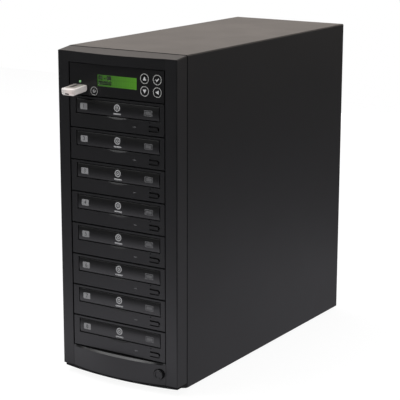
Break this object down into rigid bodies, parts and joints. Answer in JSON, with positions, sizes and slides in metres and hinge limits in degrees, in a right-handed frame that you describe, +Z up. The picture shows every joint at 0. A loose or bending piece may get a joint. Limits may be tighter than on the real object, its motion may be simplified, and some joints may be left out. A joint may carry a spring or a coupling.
{
  "type": "usb to dvd duplicator",
  "caption": "Upright tower with a controller panel over a stack of tray-loading disc drives, copying from a USB stick to DVDs.",
  "frame": {"origin": "on the floor under the middle of the case", "axes": "front towards -Y, +X to the right seen from the front, +Z up"},
  "size_m": [0.184, 0.4795, 0.4393],
  "materials": {
    "black_abs": "fine-grained moulded ABS",
    "door_abs": "smooth moulded ABS",
    "tray_abs": "moulded ABS",
    "black_coated_steel": "black powder coat, fine texture",
    "zinc_steel": "zinc-plated sheet steel",
    "nickel": "nickel plate",
    "rubber": "moulded rubber",
    "green_board": "solder mask on glass-fibre board",
    "window": "clear acrylic",
    "display": "backlit liquid crystal display",
    "green_lens": "lit green lens",
    "dark_lens": "unlit smoked lens",
    "key_plastic": "smooth moulded plastic",
    "inlet_plastic": "moulded nylon",
    "white_plastic": "glossy moulded ABS"
  },
  "bodies": {
    "case": {"front_bezel": "black_abs", "lower_fascia": "black_abs", "controller_panel": "black_abs", "drive_fronts": "black_abs", "fan_frame": "black_abs", "power_switch": "black_abs", "cover": "black_coated_steel", "base_pan": "zinc_steel", "drive_cage": "zinc_steel", "back_panel": "zinc_steel", "drive_housings": "zinc_steel", "controller_tray": "zinc_steel", "supply_case": "zinc_steel", "usb_port": "nickel", "fan_guard": "nickel", "feet": "rubber", "keypad_board": "green_board", "controller_board": "green_board", "display_window": "window", "display_module": "display", "status_light": "green_lens", "drive_lights": "dark_lens", "mains_inlet": "inlet_plastic", "switch_frame": "inlet_plastic"},
    "tray_1_body": {"tray_1": "tray_abs", "tray_door_1": "door_abs"},
    "tray_2_body": {"tray_2": "tray_abs", "tray_door_2": "door_abs"},
    "tray_3_body": {"tray_3": "tray_abs", "tray_door_3": "door_abs"},
    "tray_4_body": {"tray_4": "tray_abs", "tray_door_4": "door_abs"},
    "tray_5_body": {"tray_5": "tray_abs", "tray_door_5": "door_abs"},
    "tray_6_body": {"tray_6": "tray_abs", "tray_door_6": "door_abs"},
    "tray_7_body": {"tray_7": "tray_abs", "tray_door_7": "door_abs"},
    "tray_8_body": {"tray_8": "tray_abs", "tray_door_8": "door_abs"},
    "eject_1_body": {"eject_button_1": "door_abs"},
    "eject_2_body": {"eject_button_2": "door_abs"},
    "eject_3_body": {"eject_button_3": "door_abs"},
    "eject_4_body": {"eject_button_4": "door_abs"},
    "eject_5_body": {"eject_button_5": "door_abs"},
    "eject_6_body": {"eject_button_6": "door_abs"},
    "eject_7_body": {"eject_button_7": "door_abs"},
    "eject_8_body": {"eject_button_8": "door_abs"},
    "up_key_body": {"up_key": "key_plastic"},
    "enter_key_body": {"enter_key": "key_plastic"},
    "down_key_body": {"down_key": "key_plastic"},
    "back_key_body": {"back_key": "key_plastic"},
    "mode_key_body": {"mode_key": "key_plastic"},
    "power_button_body": {"power_button": "key_plastic"},
    "usb_stick_body": {"usb_stick": "white_plastic", "usb_plug": "nickel"},
    "mains_rocker_body": {"mains_switch": "inlet_plastic"},
    "fan_rotor_body": {"fan_rotor": "black_abs"}
  },
  "joints": [
    {"name": "tray_1_slide", "type": "slide", "parent": "case", "child": "tray_1_body", "axis": [0, -1, 0], "range_m": [0, 0.14]},
    {"name": "tray_2_slide", "type": "slide", "parent": "case", "child": "tray_2_body", "axis": [0, -1, 0], "range_m": [0, 0.14]},
    {"name": "tray_3_slide", "type": "slide", "parent": "case", "child": "tray_3_body", "axis": [0, -1, 0], "range_m": [0, 0.14]},
    {"name": "tray_4_slide", "type": "slide", "parent": "case", "child": "tray_4_body", "axis": [0, -1, 0], "range_m": [0, 0.14]},
    {"name": "tray_5_slide", "type": "slide", "parent": "case", "child": "tray_5_body", "axis": [0, -1, 0], "range_m": [0, 0.14]},
    {"name": "tray_6_slide", "type": "slide", "parent": "case", "child": "tray_6_body", "axis": [0, -1, 0], "range_m": [0, 0.14]},
    {"name": "tray_7_slide", "type": "slide", "parent": "case", "child": "tray_7_body", "axis": [0, -1, 0], "range_m": [0, 0.14]},
    {"name": "tray_8_slide", "type": "slide", "parent": "case", "child": "tray_8_body", "axis": [0, -1, 0], "range_m": [0, 0.14]},
    {"name": "eject_1_press", "type": "slide", "parent": "case", "child": "eject_1_body", "axis": [0, 1, 0], "range_m": [0, 0.001], "stiffness_N_per_m": 600, "springref_m": -0.0005},
    {"name": "eject_2_press", "type": "slide", "parent": "case", "child": "eject_2_body", "axis": [0, 1, 0], "range_m": [0, 0.001], "stiffness_N_per_m": 600, "springref_m": -0.0005},
    {"name": "eject_3_press", "type": "slide", "parent": "case", "child": "eject_3_body", "axis": [0, 1, 0], "range_m": [0, 0.001], "stiffness_N_per_m": 600, "springref_m": -0.0005},
    {"name": "eject_4_press", "type": "slide", "parent": "case", "child": "eject_4_body", "axis": [0, 1, 0], "range_m": [0, 0.001], "stiffness_N_per_m": 600, "springref_m": -0.0005},
    {"name": "eject_5_press", "type": "slide", "parent": "case", "child": "eject_5_body", "axis": [0, 1, 0], "range_m": [0, 0.001], "stiffness_N_per_m": 600, "springref_m": -0.0005},
    {"name": "eject_6_press", "type": "slide", "parent": "case", "child": "eject_6_body", "axis": [0, 1, 0], "range_m": [0, 0.001], "stiffness_N_per_m": 600, "springref_m": -0.0005},
    {"name": "eject_7_press", "type": "slide", "parent": "case", "child": "eject_7_body", "axis": [0, 1, 0], "range_m": [0, 0.001], "stiffness_N_per_m": 600, "springref_m": -0.0005},
    {"name": "eject_8_press", "type": "slide", "parent": "case", "child": "eject_8_body", "axis": [0, 1, 0], "range_m": [0, 0.001], "stiffness_N_per_m": 600, "springref_m": -0.0005},
    {"name": "up_key_press", "type": "slide", "parent": "case", "child": "up_key_body", "axis": [0, 1, 0], "range_m": [0, 0.0008], "stiffness_N_per_m": 1200, "springref_m": -0.0004},
    {"name": "enter_key_press", "type": "slide", "parent": "case", "child": "enter_key_body", "axis": [0, 1, 0], "range_m": [0, 0.0008], "stiffness_N_per_m": 1200, "springref_m": -0.0004},
    {"name": "down_key_press", "type": "slide", "parent": "case", "child": "down_key_body", "axis": [0, 1, 0], "range_m": [0, 0.0008], "stiffness_N_per_m": 1200, "springref_m": -0.0004},
    {"name": "back_key_press", "type": "slide", "parent": "case", "child": "back_key_body", "axis": [0, 1, 0], "range_m": [0, 0.0008], "stiffness_N_per_m": 1200, "springref_m": -0.0004},
    {"name": "mode_key_press", "type": "slide", "parent": "case", "child": "mode_key_body", "axis": [0, 1, 0], "range_m": [0, 0.0008], "stiffness_N_per_m": 1200, "springref_m": -0.0004},
    {"name": "power_button_press", "type": "slide", "parent": "case", "child": "power_button_body", "axis": [0, 1, 0], "range_m": [0, 0.002], "stiffness_N_per_m": 900, "springref_m": -0.0008},
    {"name": "usb_stick_pull", "type": "slide", "parent": "case", "child": "usb_stick_body", "axis": [0, -1, 0], "range_m": [0, 0.03]},
    {"name": "mains_rocker", "type": "hinge", "parent": "case", "child": "mains_rocker_body", "pos_m": [0.009, 0.2196, 0.049], "axis": [1, 0, 0], "range_deg": [-18, 0]},
    {"name": "fan_spin", "type": "hinge", "parent": "case", "child": "fan_rotor_body", "pos_m": [0, 0.206, 0.3553], "axis": [0, 1, 0], "continuous": true}
  ]
}
